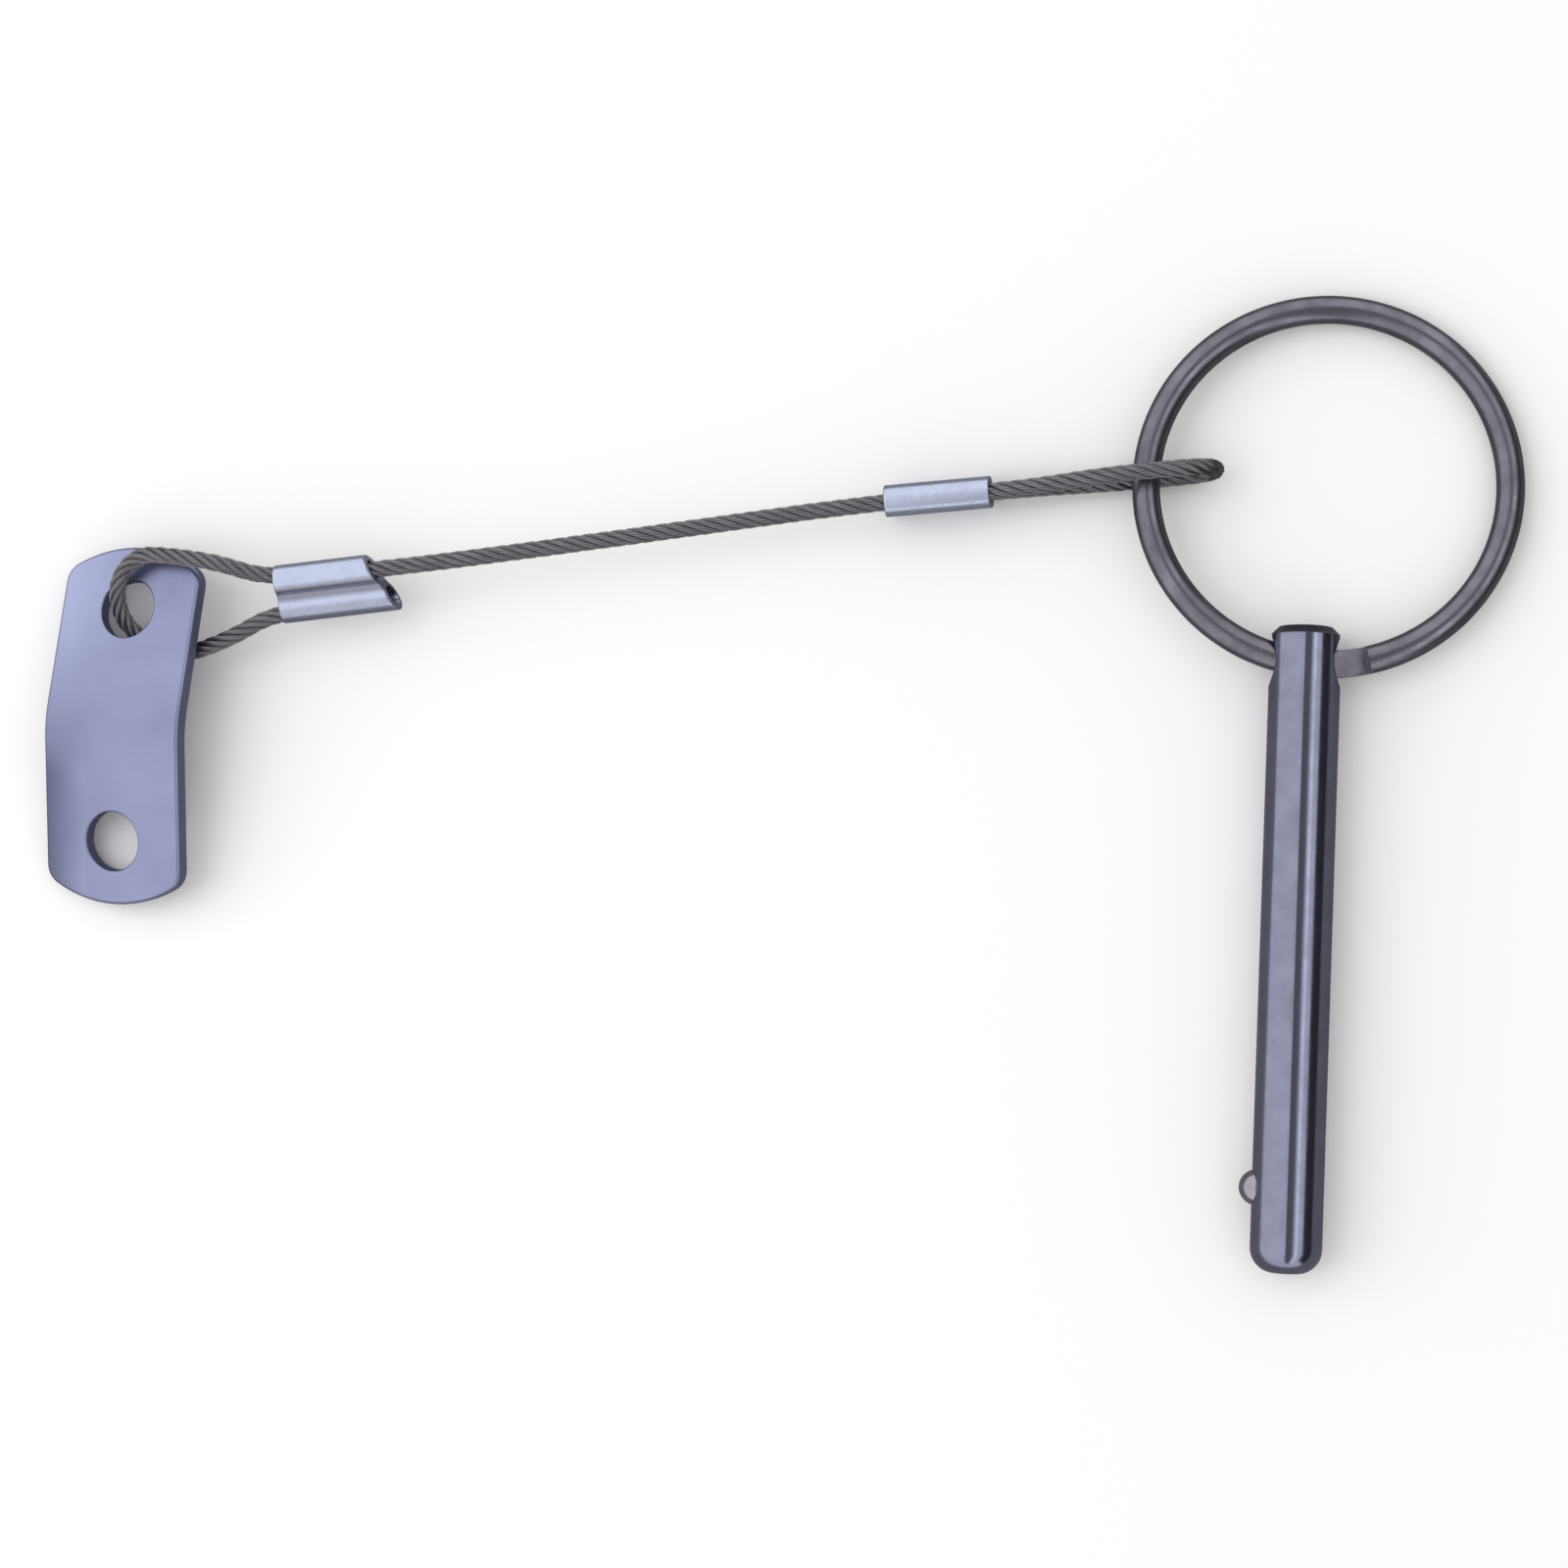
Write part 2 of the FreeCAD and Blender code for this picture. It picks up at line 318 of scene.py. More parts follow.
class TabSettings(bpy.types.PropertyGroup):
    """Finish of the mounting tab and of the sleeves, with their painted highlight and shade."""

    colour: bpy.props.FloatVectorProperty(
        name="Tab colour",
        description="Colour of the satin steel",
        default=(0.41, 0.44, 0.68),
        subtype="COLOR",
    )
    # Colour of the dull patches, also used for the painted shade across the bend
    shade: bpy.props.FloatVectorProperty(
        name="Tab shade",
        description="Colour of its dull patches",
        default=(0.33, 0.35, 0.54),
        subtype="COLOR",
    )
    # Painted highlight at the tab's upper left, where the light falls
    painted_highlight: bpy.props.FloatVectorProperty(
        name="Rubbed",
        description="Colour where it is rubbed bright",
        default=(0.58, 0.63, 0.92),
        subtype="COLOR",
    )
    # Painted shade at the tab's lower left
    painted_shade: bpy.props.FloatVectorProperty(
        name="Stained",
        description="Colour where it is stained",
        default=(0.17, 0.18, 0.29),
        subtype="COLOR",
    )
    sleeve_colour: bpy.props.FloatVectorProperty(
        name="Sleeve colour",
        description="Colour of the aluminium",
        default=(0.70, 0.77, 1.0),
        subtype="COLOR",
    )
    sleeve_shade: bpy.props.FloatVectorProperty(
        name="Sleeve shade",
        description="Colour in its marks",
        default=(0.58, 0.59, 0.75),
        subtype="COLOR",
    )
    # Painted shade between the barrels
    groove_shade: bpy.props.FloatVectorProperty(
        name="Groove colour",
        description="Colour between the barrels",
        default=(0.22, 0.21, 0.27),
        subtype="COLOR",
    )


class Term:
    """A socket of a node tree that takes part in Python expressions."""

    def __init__(self, nodes, socket):
        self.nodes = nodes
        self.socket = socket

    def math(self, operation, *values):
        return self.nodes.node("ShaderNodeMath", {"operation": operation}, values)

    def __add__(self, other):
        return self.math("ADD", self, other)

    def __radd__(self, other):
        return self.math("ADD", other, self)

    def __sub__(self, other):
        return self.math("SUBTRACT", self, other)

    def __rsub__(self, other):
        return self.math("SUBTRACT", other, self)

    def __mul__(self, other):
        return self.math("MULTIPLY", self, other)

    def __rmul__(self, other):
        return self.math("MULTIPLY", other, self)

    def __truediv__(self, other):
        return self.math("DIVIDE", self, other)

    def __rtruediv__(self, other):
        return self.math("DIVIDE", other, self)

    def __lt__(self, other):
        return self.math("LESS_THAN", self, other)

    def cos(self):
        return self.math("COSINE", self)

    def sin(self):
        return self.math("SINE", self)

    def root(self):
        return self.math("SQRT", self)

    def size(self):
        return self.math("ABSOLUTE", self)

    def floor(self):
        return self.math("FLOOR", self)

    def capped(self):
        return self.nodes.node("ShaderNodeClamp", inputs=[self, 0.0, 1.0])

    def share_of(self, length):
        """Its share of a length, kept from 0 to 1."""
        return (self / length).capped()

    def above(self, level, slope):
        """How far it rises above a level, times a slope, kept from 0 to 1."""
        return ((self - level) * slope).capped()


class Nodes:
    """A node tree that is built from single nodes and expressions."""

    def node(self, kind, settings=None, inputs=(), output=0):
        """Adds a node: its settings first, then its inputs' values or links."""
        node = self.tree.nodes.new(kind)
        for name, value in (settings or {}).items():
            setattr(node, name, value)
        pairs = inputs.items() if isinstance(inputs, dict) else enumerate(inputs)
        for key, value in pairs:
            if isinstance(value, Term):
                self.tree.links.new(value.socket, node.inputs[key])
            else:
                node.inputs[key].default_value = value
        return Term(self, node.outputs[output]) if node.outputs else None

    def vector(self, operation, *values):
        return self.node("ShaderNodeVectorMath", {"operation": operation}, values)

    def scaled(self, vector, factor):
        inputs = {"Vector": vector, "Scale": factor}
        return self.node("ShaderNodeVectorMath", {"operation": "SCALE"}, inputs)

    def split(self, vector):
        parts = self.node("ShaderNodeSeparateXYZ", inputs=[vector]).socket.node
        return [Term(self, socket) for socket in parts.outputs]

    def join(self, x, y, z):
        return self.node("ShaderNodeCombineXYZ", inputs=[x, y, z])


class Shader(Nodes):
    """The node tree of one material."""

    def __init__(self, name):
        self.material = bpy.data.materials.new(name)
        self.material.use_nodes = True
        self.tree = self.material.node_tree
        self.tree.nodes.clear()

    def place(self):
        return self.node("ShaderNodeTexCoord", output="Object")

    def attribute(self, name, output):
        return self.node("ShaderNodeAttribute", {"attribute_name": name}, output=output)

    def noise(self, vector, size, detail=3.0, roughness=0.55):
        values = {"Vector": vector, "Scale": 1 / size, "Detail": detail, "Roughness": roughness}
        return self.node("ShaderNodeTexNoise", inputs=values)

    def mix(self, share, first, second):
        """A colour between two, by the Mix node's sockets for colours, which share their names."""
        inputs = {0: share, 6: first, 7: second}
        return self.node("ShaderNodeMix", {"data_type": "RGBA"}, inputs, output=2)

    def bump(self, height, depth):
        return self.node("ShaderNodeBump", inputs={"Height": height, "Distance": depth})

    def surface(self, **values):
        """The finished material, with these values or links on its shader's sockets."""
        inputs = {key.replace("_", " ").title(): value for key, value in values.items()}
        shader = self.node("ShaderNodeBsdfPrincipled", inputs=inputs)
        self.node("ShaderNodeOutputMaterial", inputs=[shader])
        return self.material

    def metal(self, colour, roughness, normal):
        return self.surface(base_color=colour, metallic=1.0, roughness=roughness, normal=normal)


def rgba(colour):
    return (*colour, 1.0)


def patches(s, vector, size):
    """Soft patches of about a size in metres, from 0 to 1."""
    return s.noise(vector, size, detail=4.0).above(0.32, slope=2.8)


def lines(s, across_a, across_b, along, fine, long):
    """Fine lines that run along one measure, this fine and this long in metres."""
    vector = s.join(across_a / fine, across_b / fine, along / long)
    return s.noise(vector, 1.0, detail=4.0, roughness=0.65)


def pin_material(settings):
    """Ground steel: fine marks round the pin, faint scuffs along it, dull patches and a painted dark
    reflection on its end.
    """
    pin_radius = 3.175 * MM
    painted_end_foot = 2.0 * MM
    painted_end_fade = 0.4 * MM
    s = Shader("pin_steel")
    place = s.place()
    x, y, z = s.split(place)
    around = x.math("ARCTAN2", x, z) * pin_radius
    radius = (x * x + z * z).root()
    ground = lines(s, y, radius, around, fine=0.05 * MM, long=3.5 * MM)
    scuffs = lines(s, around, radius, y, fine=0.06 * MM, long=9 * MM)
    dull = patches(s, place, 2.2 * MM)
    worn = scuffs.above(0.56, slope=5)
    # Painted dark reflection: the pin's end above the ring is darkened
    turned = (y - painted_end_foot).share_of(painted_end_fade)
    colour = s.mix(dull * 0.7 + worn * 0.3, rgba(settings.colour), rgba(settings.shade))
    colour = s.mix(turned * 0.7, colour, rgba(settings.painted_end_reflection))
    rough = settings.roughness + dull * 0.07 + worn * 0.10 + ground * 0.04
    normal = s.bump(ground * 0.6 + scuffs * 0.4, 0.004 * MM)
    return s.metal(colour, rough, normal)


def ball_material(settings):
    """Hard polished steel with a faint film."""
    s = Shader("ball_steel")
    place = s.place()
    film = patches(s, place, 0.9 * MM)
    colour = s.mix(film * 0.5, rgba(settings.ball_colour), rgba(settings.shade))
    normal = s.bump(s.noise(place, 0.12 * MM), 0.001 * MM)
    return s.metal(colour, 0.10 + film * 0.08, normal)


def spring_material(settings):
    """Drawn spring wire."""
    s = Shader("spring_steel")
    place = s.place()
    marks = s.noise(place, 0.15 * MM)
    colour = s.mix(marks, rgba(settings.colour), rgba(settings.shade))
    return s.metal(colour, 0.26 + marks * 0.12, s.bump(marks, 0.003 * MM))


def ring_material(settings):
    """Tumbled spring steel: draw lines along the wire, dull patches, small nicks."""
    s = Shader("ring_steel")
    across, up, along = s.split(s.attribute("section", "Vector"))
    drawn = lines(s, across, up, along, fine=0.07 * MM, long=7 * MM)
    place = s.place()
    dull = patches(s, place, 2.6 * MM)
    nicks = s.noise(place, 0.35 * MM, detail=2.0).above(0.66, slope=9)
    colour = s.mix(dull * 0.8 + nicks * 0.2, rgba(settings.colour), rgba(settings.shade))
    rough = 0.20 + dull * 0.12 + drawn * 0.08
    normal = s.bump(drawn * 0.7 - nicks * 0.8, 0.006 * MM)
    return s.metal(colour, rough, normal)


def rope_material(settings):
    """Stainless wires, each with its own tone, with dull patches."""
    s = Shader("rope_steel")
    tone = s.attribute("tone", "Fac")
    along = s.attribute("along", "Fac")
    place = s.place()
    dull = patches(s, place, 1.8 * MM)
    marks = s.noise(s.join(tone * 50, along / (1.2 * MM), 0.0), 1.0)
    share = (tone * 0.45 + dull * 0.35 + marks * 0.3).capped()
    colour = s.mix(share, rgba(settings.colour), rgba(settings.shade))
    return s.metal(colour, 0.27 + marks * 0.14, s.bump(marks, 0.004 * MM))


def sleeve_material(settings, node, axis, upright):
    """Drawn aluminium: faint lines along it, painted shade in the groove between its barrels, small
    dents.

    An upright sleeve has its barrels one above the other. A flat one has them side by side,
    and one flank of it has painted shade too.
    """
    groove_middle = 0.1 * MM
    groove_reach = 0.85 * MM
    groove_fade = 0.45 * MM
    flank_shade_start = 1.2 * MM
    flank_shade_fade = 0.35 * MM
    s = Shader(node)
    place = s.place()
    low, high = (Vector(corner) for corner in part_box(node))
    turn = axis.to_track_quat("Z", "Y").to_euler()
    values = {"Vector": place, "Location": (low + high) / 2, "Rotation": turn}
    x, y, z = s.split(s.node("ShaderNodeMapping", {"vector_type": "TEXTURE"}, values))
    drawn = lines(s, x, y, z, fine=0.09 * MM, long=6 * MM)
    dents = patches(s, place, 1.1 * MM)
    dirt = s.noise(place, 0.5 * MM, detail=4.0).above(0.52, slope=5)
    across = y if upright else x
    # Painted shade: darker in the groove between the barrels
    groove = (groove_reach - (across - groove_middle).size()).share_of(groove_fade)
    dull = groove * 0.72
    # A flat sleeve also gets painted shade on one flank
    if not upright:
        dull = dull + (x - flank_shade_start).share_of(flank_shade_fade) * 0.38
    marks = dents * 0.3 + dirt * 0.2
    colour = s.mix(marks, rgba(settings.sleeve_colour), rgba(settings.sleeve_shade))
    # All of this dull share is painted shade
    colour = s.mix(dull, colour, rgba(settings.groove_shade))
    rough = 0.22 + dents * 0.08 + dirt * 0.10
    normal = s.bump(drawn * 0.4 + dents * 0.6, 0.002 * MM)
    return s.metal(colour, rough, normal)


def tab_material(settings):
    """Satin steel sheet: fine grain, faint rolling lines, soft patches and scratches.

    It has a painted highlight at its upper left, painted shade across its bend and painted shade at
    its lower left.
    """
    highlight_right = -108.5 * MM
    highlight_foot = -8 * MM
    bend_shade_middle = -9.5 * MM
    bend_shade_reach = 5 * MM
    painted_shade_right = -113 * MM
    painted_shade_top = -8 * MM
    s = Shader("tab_steel")
    place = s.place()
    x, y, z = s.split(place)
    grain = s.noise(place, 0.11 * MM, roughness=0.6)
    rolled = lines(s, x, z, y, fine=0.16 * MM, long=14 * MM)
    dull = patches(s, place, 6.5 * MM)
    scratches = lines(s, y, z, x, fine=0.10 * MM, long=5 * MM).above(0.66, slope=8)
    # Painted highlight: lighter towards the upper left
    painted_highlight = (highlight_right - x).share_of(7 * MM) * (y - highlight_foot).share_of(10 * MM)
    # Painted shade in a band across the bend
    bend = (1 - (y - bend_shade_middle).size() / bend_shade_reach).capped()
    # Painted shade: darker towards the lower left edge
    painted_shade = (painted_shade_right - x).share_of(3.5 * MM) * (painted_shade_top - y).share_of(6 * MM)
    # The marks mix real dull patches and scratches with the painted shade across the bend
    marks = dull * 0.6 + scratches * 0.2 + bend * 0.35
    colour = s.mix(marks, rgba(settings.colour), rgba(settings.shade))
    # Painted highlight and painted shade laid over the steel's own colour
    colour = s.mix(painted_highlight * 0.75, colour, rgba(settings.painted_highlight))
    colour = s.mix(painted_shade * 0.9, colour, rgba(settings.painted_shade))
    rough = 0.30 + dull * 0.06 + grain * 0.10
    normal = s.bump(grain * 0.6 + rolled * 0.5 - scratches * 0.5, 0.010 * MM)
    return s.metal(colour, rough, normal)


class Tree(Nodes):
    """The node tree of one shape, with named inputs, from its start to its output."""

    def __init__(self, name, material):
        self.tree = bpy.data.node_groups.new(name, "GeometryNodeTree")
        self.material = material
        for way in ("INPUT", "OUTPUT"):
            self.tree.interface.new_socket("Geometry", in_out=way, socket_type="NodeSocketGeometry")
        self.source = self.node("NodeGroupInput").socket.node
        self.values = {}

    def start(self):
        return Term(self, self.source.outputs["Geometry"])

    def number(self, name, value):
        """A named input of the tree, with the value that the modifier gives it."""
        socket = self.tree.interface.new_socket(name, in_out="INPUT", socket_type="NodeSocketFloat")
        self.values[socket.identifier] = value
        return Term(self, self.source.outputs[name])

    def index(self):
        return self.node("GeometryNodeInputIndex")

    def stored(self, geometry, name, value, kind="FLOAT", domain="POINT"):
        settings = {"data_type": kind, "domain": domain}
        inputs = {"Geometry": geometry, "Name": name, "Value": value}
        return self.node("GeometryNodeStoreNamedAttribute", settings, inputs)

    def read(self, name):
        return self.node("GeometryNodeInputNamedAttribute", {"data_type": "FLOAT"}, {"Name": name})

    def tube(self, line, radius, sides):
        inputs = {"Resolution": sides, "Radius": radius}
        return self.swept(line, self.node("GeometryNodeCurvePrimitiveCircle", inputs=inputs))

    def swept(self, line, profile):
        inputs = {"Curve": line, "Profile Curve": profile, "Fill Caps": True}
        return self.node("GeometryNodeCurveToMesh", inputs=inputs)

    def finish(self, *meshes):
        """Joins the meshes, rounds all but their end faces and gives them the material."""
        joined = self.node("GeometryNodeJoinGeometry")
        for mesh in meshes:
            self.tree.links.new(mesh.socket, joined.socket.node.inputs[0])
        # A side face has at most four corners, an end face more
        corners = self.node("GeometryNodeInputMeshFaceNeighbors")
        inputs = {"Geometry": joined, "Selection": corners < 4.5}
        joined = self.node("GeometryNodeSetShadeSmooth", inputs=inputs)
        whole = self.node("GeometryNodeRealizeInstances", inputs=[joined])
        inputs = {"Geometry": whole, "Material": self.material}
        dressed = self.node("GeometryNodeSetMaterial", inputs=inputs)
        self.node("NodeGroupOutput", inputs=[dressed])

    def apply(self, piece):
        """Turns the piece into the plain mesh that the tree makes of it."""
        modifier = piece.modifiers.new("shape", "NODES")
        modifier.node_group = self.tree
        for identifier, value in self.values.items():
            modifier[identifier] = value
        graph = bpy.context.evaluated_depsgraph_get()
        mesh = bpy.data.meshes.new_from_object(piece.evaluated_get(graph), depsgraph=graph)
        piece.modifiers.clear()
        piece.data = mesh
        mesh.name = piece.name


def new_piece(name, data):
    """Adds an object that holds this mesh, curve, lamp or camera."""
    piece = bpy.data.objects.new(name, data)
    bpy.context.scene.collection.objects.link(piece)
    return piece


def sheet(name, width, depth, material):
    """The mesh of a flat rectangle round the origin that faces up."""
    x, y = width / 2, depth / 2
    mesh = bpy.data.meshes.new(name)
    mesh.from_pydata([(-x, -y, 0), (x, -y, 0), (x, y, 0), (-x, y, 0)], [], [(0, 1, 2, 3)])
    mesh.materials.append(material)
    return mesh


def dress(node, material):
    """Gives a node of the frame its finish."""
    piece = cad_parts[node]
    for slot in piece.material_slots:
        slot.material = material


def route_line():
    """The rope's smooth line: points read from a NURBS spline along its route."""
    curve = bpy.data.curves.new("rope_line", "CURVE")
    curve.dimensions = "3D"
    curve.resolution_u = 24
    spline = curve.splines.new("NURBS")
    spline.points.add(len(rope_route) - 1)
    for point, place in zip(spline.points, rope_route):
        point.co = (*(Vector(place) * MM), 1.0)
    spline.order_u = 3
    spline.use_endpoint_u = True
    holder = new_piece("rope_line", curve)
    bpy.context.view_layer.update()
    graph = bpy.context.evaluated_depsgraph_get()
    line = bpy.data.meshes.new_from_object(holder.evaluated_get(graph), depsgraph=graph)
    points = [vertex.co.copy() for vertex in line.vertices]
    bpy.data.objects.remove(holder)
    bpy.data.meshes.remove(line)
    return points


def rope_tree(settings, material):
    """Six strands of seven wires laid round a core strand, along the piece's own line."""
    strands = 6
    wires = 7
    strands_across = 3
    wires_across = 9
    wire_sides = 6
    core_sides = 8
    core_tone = 0.9
    t = Tree("rope_strands", material)
    step = t.number("Step", settings.step)
    wire_radius = t.number("Wire radius", settings.diameter / (2 * wires_across))
    strand_reach = t.number("Strand reach", settings.diameter / strands_across)
    strand_lay = t.number("Strand lay", settings.strand_lay)
    wire_lay = t.number("Wire lay", settings.wire_lay)
    line = t.node("GeometryNodeMeshToCurve", inputs=[t.start()])
    inputs = {"Curve": line, "Length": step}
    line = t.node("GeometryNodeResampleCurve", {"mode": "LENGTH"}, inputs)

    along = t.node("GeometryNodeSplineParameter", output="Length")
    inputs = {"Geometry": line, "Amount": strands * wires}
    copies = t.node("GeometryNodeDuplicateElements", {"domain": "SPLINE"}, inputs)
    number = Term(t, copies.socket.node.outputs["Duplicate Index"])
    strand = (number / wires).floor()
    wire = number - strand * wires
    outer = wire < wires - 1.5
    normal = t.node("GeometryNodeInputNormal")
    side = t.vector("CROSS_PRODUCT", t.node("GeometryNodeInputTangent"), normal)

    def circle(turn, reach):
        shift = t.scaled(normal, turn.cos() * reach)
        return t.vector("ADD", shift, t.scaled(side, turn.sin() * reach))

    strand_turn = strand * (tau / strands) + along * tau / strand_lay
    wire_turn = wire * (tau / (wires - 1)) - along * tau / wire_lay
    strand_place = circle(strand_turn, strand_reach)
    wire_place = circle(wire_turn, outer * wire_radius * 2)
    # The second output of the node is a plain number
    inputs = {"ID": number, "Seed": 7}
    tone = t.node("FunctionNodeRandomValue", {"data_type": "FLOAT"}, inputs, output=1)
    copies = t.stored(copies, "tone", tone, domain="CURVE")
    copies = t.stored(copies, "along", along)
    offset = t.vector("ADD", strand_place, wire_place)
    laid = t.node("GeometryNodeSetPosition", inputs={"Geometry": copies, "Offset": offset})
    core = t.stored(t.stored(line, "tone", core_tone), "along", along)
    t.finish(t.tube(laid, wire_radius, wire_sides), t.tube(core, wire_radius * 3, core_sides))
    return t


def ring_tree(settings, material):
    """Two turns of one wire, flat where they meet and rounded outside."""
    t = Tree("split_ring_turns", material)
    radius = t.number("Radius", (settings.inner_diameter + settings.wire_width) / 2)
    half_width = t.number("Half width", settings.wire_width / 2)
    half_thickness = t.number("Half thickness", settings.wire_thickness / 2)
    rounding = t.number("Rounding", settings.wire_rounding)
    back_rounding = t.number("Back rounding", settings.wire_back_rounding)
    level = t.number("Level", (settings.wire_thickness + settings.turn_gap) / 2)
    place = t.number("Crossover place", settings.crossover_place)
    climb = t.number("Crossover angle", settings.crossover_angle)

    steps = 720
    sides = 32
    line = t.node("GeometryNodeCurvePrimitiveLine")
    line = t.node("GeometryNodeResampleCurve", inputs={"Curve": line, "Count": steps + 1})
    line = t.stored(line, "share", t.index() / steps)
    inputs = {"Resolution": sides, "Radius": MM}
    profile = t.node("GeometryNodeCurvePrimitiveCircle", inputs=inputs)
    profile = t.stored(profile, "around", (sides - 0.5 - t.index()) * (tau / sides))
    wire = t.swept(line, profile)

    turn = t.read("share") * (2 * tau - climb) + climb * 0.5
    into = (turn - tau + climb * 0.5).share_of(climb)
    side = 1 - into * into * (3 - into * 2) * 2
    around = t.read("around")
    facing = (around < pi) * 2 - 1
    across = around.cos() * half_width / cos(pi / sides)
    height = back_rounding + rounding * (side * facing + 1) * 0.5
    bend = (half_width * half_width + height * height) / (height * 2)
    up = facing * (half_thickness - bend + (bend * bend - across * across).root())
    angle = turn + place
    reach = radius + across
    position = t.join(angle.cos() * reach, angle.sin() * reach, side * level + up)
    section = t.join(across, up, turn * radius)
    wire = t.stored(wire, "section", section, kind="FLOAT_VECTOR")
    wire = t.node("GeometryNodeSetPosition", inputs={"Geometry": wire, "Position": position})
    t.finish(wire)
    return t


def spring_tree(settings, material, radius, length):
    """A coil of round wire that climbs along Z."""
    steps_in_turn = 48
    sides = 12
    t = Tree("spring_coil", material)
    coil_radius = t.number("Coil radius", radius)
    wire_radius = t.number("Wire radius", settings.wire / 2)
    height = t.number("Height", length)
    turns = t.number("Turns", settings.turns)
    inputs = {
        "Resolution": steps_in_turn,
        "Rotations": turns,
        "Start Radius": coil_radius,
        "End Radius": coil_radius,
        "Height": height,
    }
    t.finish(t.tube(t.node("GeometryNodeCurveSpiral", inputs=inputs), wire_radius, sides))
    return t


class PIN_OT_stage(bpy.types.Operator):
    """Set up the camera, the floor and the light"""

    bl_idname = "pin.stage"
    bl_label = "Stage"

    def execute(self, context):
        settings = context.scene.pin_stage
        scene = context.scene
        scene.view_settings.view_transform = "Standard"
        camera = bpy.data.cameras.new("camera")
        camera.lens = settings.lens
        camera.sensor_width = 36.0
        camera.clip_start = 0.01
        holder = new_piece("camera", camera)
        holder.location = settings.camera_place
        holder.rotation_euler = settings.camera_turn
        scene.camera = holder
        self.add_floor(settings)
        self.add_room(scene, settings)
        self.add_softbox(settings)
        self.add_cards()
        return {"FINISHED"}

    def add_floor(self, settings):
        """A sheet of paper that the object lies on."""
        s = Shader("floor_paper")
        grain = s.noise(s.place(), 0.6 * MM, detail=2.0)
        pale = settings.floor_colour
        colour = s.mix(grain * 0.04, rgba(pale), rgba([c * 0.9 for c in pale]))
        paper = s.surface(base_color=colour, roughness=0.8)
        mesh = sheet("floor", settings.floor_size, settings.floor_size, paper)
        mesh.transform(Matrix.Translation((0, 0, cad_box[0][2])))
        new_piece("floor", mesh)

    def add_room(self, scene, settings):
        """Even light from all round."""
        world = bpy.data.worlds.new("room")
        world.use_nodes = True
        scene.world = world
        background = world.node_tree.nodes["Background"]
        background.inputs["Color"].default_value = rgba(settings.floor_colour)
        background.inputs["Strength"].default_value = settings.room_level

    def add_softbox(self, settings):
        """A large lamp at the left that the metal doesn't reflect."""
        place = Vector((-0.50, 0.02, 0.46))
        lamp = bpy.data.lights.new("softbox", "AREA")
        lamp.shape = "RECTANGLE"
        lamp.size = 0.55
        lamp.size_y = 0.8
        lamp.energy = settings.softbox_power
        holder = new_piece("softbox", lamp)
        holder.location = place
        holder.rotation_euler = place.to_track_quat("Z", "Y").to_euler()
        holder.visible_glossy = False

    def add_cards(self):
        """Cards that only the metal's reflections show: dark ones and a bright strip."""
        above_floor = cad_box[0][2] + 0.02 * MM
        self.add_card("card_above", place=(0.078, -0.51, 0.46), size=(0.235, 1.38), tone=0.17)
        self.add_card("card_bright", place=(0.30, -0.51, 0.46), size=(0.08, 1.38), tone=0.8, glow=0.8)
        self.add_card("card_right", place=(0.42, 0, 0.147), size=(0.294, 1.2), tone=0.03, turn=-pi / 2)
        self.add_card("card_below", place=(0, 0, above_floor), size=(1.2, 1.2), tone=0.20)

    def add_card(self, name, place, size, tone, turn=0.0, glow=0.0):
        """One card of a grey tone, turned about Y, with a white glow of its own."""
        s = Shader(name)
        grey = (tone, tone, tone, 1)
        light = {"emission_color": (1, 1, 1, 1), "emission_strength": glow}
        mesh = sheet(name, *size, s.surface(base_color=grey, roughness=0.9, **light))
        mesh.transform(Matrix.Translation(place) @ Matrix.Rotation(turn, 4, "Y"))
        card = new_piece(name, mesh)
        card.visible_camera = False
        card.visible_diffuse = False
        card.visible_shadow = False
        card.visible_transmission = False


class PIN_OT_rope(bpy.types.Operator):
    """Lay the wire rope along its route"""

    bl_idname = "pin.rope"
    bl_label = "Wire rope"

    def execute(self, context):
        settings = context.scene.pin_rope
        points = route_line()
        mesh = bpy.data.meshes.new("lanyard_rope")
        mesh.from_pydata(points, [(i, i + 1) for i in range(len(points) - 1)], [])
        rope = new_piece("lanyard_rope", mesh)
        rope_tree(settings, rope_material(settings)).apply(rope)
        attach(rope, "lanyard")
        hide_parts("wire_rope")
        return {"FINISHED"}


class PIN_OT_ring(bpy.types.Operator):
    """Coil the split ring"""

    bl_idname = "pin.ring"
    bl_label = "Split ring"

    def execute(self, context):
        settings = context.scene.pin_ring
        ring = new_piece("ring_coil", bpy.data.meshes.new("ring_coil"))
        ring_tree(settings, ring_material(settings)).apply(ring)
        lean = Matrix.Rotation(settings.lean_side, 4, "Y") @ Matrix.Rotation(settings.lean_far, 4, "X")
        ring.data.transform(Matrix.Translation(settings.centre) @ lean)
        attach(ring, "ring")
        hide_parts("split_ring")
        return {"FINISHED"}


class PIN_OT_spring(bpy.types.Operator):
    """Coil the spring behind the ball"""

    bl_idname = "pin.spring"
    bl_label = "Spring"

    def execute(self, context):
        settings = context.scene.pin_spring
        low, high = (Vector(corner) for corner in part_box("detent_spring"))
        half_wire = settings.wire / 2
        reach = (high.z - low.z) / 2 - half_wire
        length = high.x - low.x - settings.wire
        spring = new_piece("spring_coil", bpy.data.meshes.new("spring_coil"))
        spring_tree(settings, spring_material(settings), reach, length).apply(spring)
        middle = (low + high) / 2
        foot = Vector((low.x + half_wire, middle.y, middle.z))
        spring.data.transform(Matrix.Translation(foot) @ Matrix.Rotation(pi / 2, 4, "Y"))
        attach(spring, "pin")
        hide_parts("detent_spring")
        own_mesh(spring)
        return {"FINISHED"}


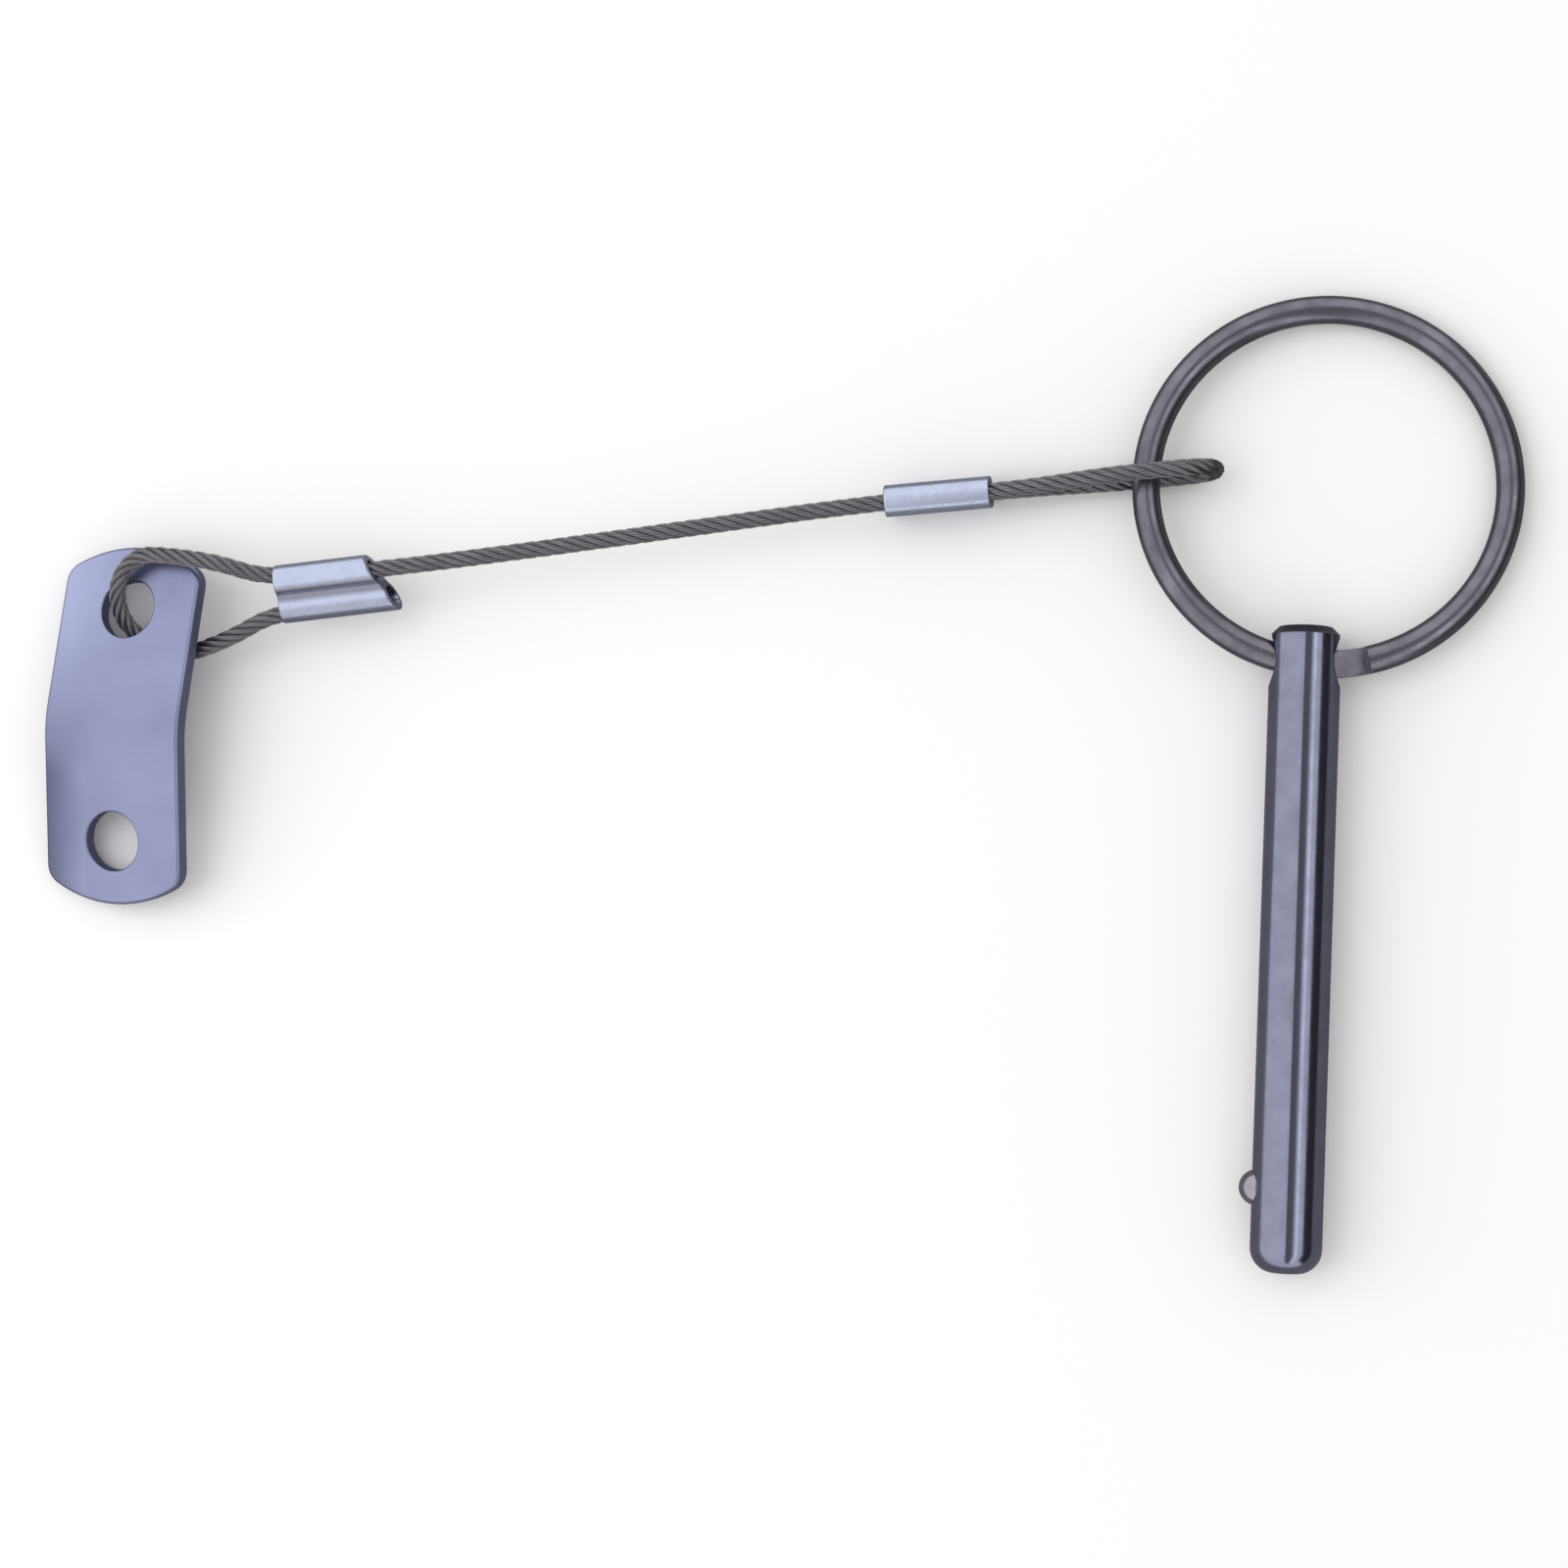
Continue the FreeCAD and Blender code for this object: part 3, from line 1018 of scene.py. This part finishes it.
class PIN_OT_metal(bpy.types.Operator):
    """Finish the pin and its ball"""

    bl_idname = "pin.metal"
    bl_label = "Pin and ball"

    def execute(self, context):
        settings = context.scene.pin_metal
        dress("pin_body", pin_material(settings))
        dress("detent_ball", ball_material(settings))
        return {"FINISHED"}


class PIN_OT_tab(bpy.types.Operator):
    """Finish the mounting tab and the crimp sleeves"""

    bl_idname = "pin.tab"
    bl_label = "Tab and sleeves"

    def execute(self, context):
        settings = context.scene.pin_tab
        dress("mounting_tab", tab_material(settings))
        ring_axis = Vector((-0.994, -0.110, 0.0)).normalized()
        tab_axis = Vector((-0.990, -0.140, 0.0)).normalized()
        for node, axis, upright in (
            ("sleeve_ring_end", ring_axis, True),
            ("sleeve_tab_end", tab_axis, False),
        ):
            dress(node, sleeve_material(settings, node, axis, upright))
        return {"FINISHED"}


class PIN_PT_panel(bpy.types.Panel):
    """Lists the pieces of the pin"""

    bl_idname = "PIN_PT_panel"
    bl_label = "Quick release pin"
    bl_space_type = "VIEW_3D"
    bl_region_type = "UI"
    bl_category = "Quick Pin"

    def draw(self, context):
        for operator in OPERATORS:
            self.layout.operator(operator.bl_idname)
        for name in SETTINGS:
            group = getattr(context.scene, name)
            box = self.layout.box()
            for key in group.__annotations__:
                box.prop(group, key)


SETTINGS = {
    "pin_stage": StageSettings,
    "pin_rope": RopeSettings,
    "pin_ring": RingSettings,
    "pin_spring": SpringSettings,
    "pin_metal": PinSettings,
    "pin_tab": TabSettings,
}
OPERATORS = (PIN_OT_stage, PIN_OT_rope, PIN_OT_ring, PIN_OT_spring, PIN_OT_metal, PIN_OT_tab)
CLASSES = (*SETTINGS.values(), *OPERATORS, PIN_PT_panel)


def register():
    for cls in CLASSES:
        bpy.utils.register_class(cls)
    for name, group in SETTINGS.items():
        setattr(bpy.types.Scene, name, bpy.props.PointerProperty(type=group))


def unregister():
    for name in SETTINGS:
        delattr(bpy.types.Scene, name)
    for cls in reversed(CLASSES):
        bpy.utils.unregister_class(cls)


def main():
    register()
    bpy.ops.pin.stage()
    bpy.ops.pin.rope()
    bpy.ops.pin.ring()
    bpy.ops.pin.spring()
    bpy.ops.pin.metal()
    bpy.ops.pin.tab()


if __name__ == "__main__":
    main()
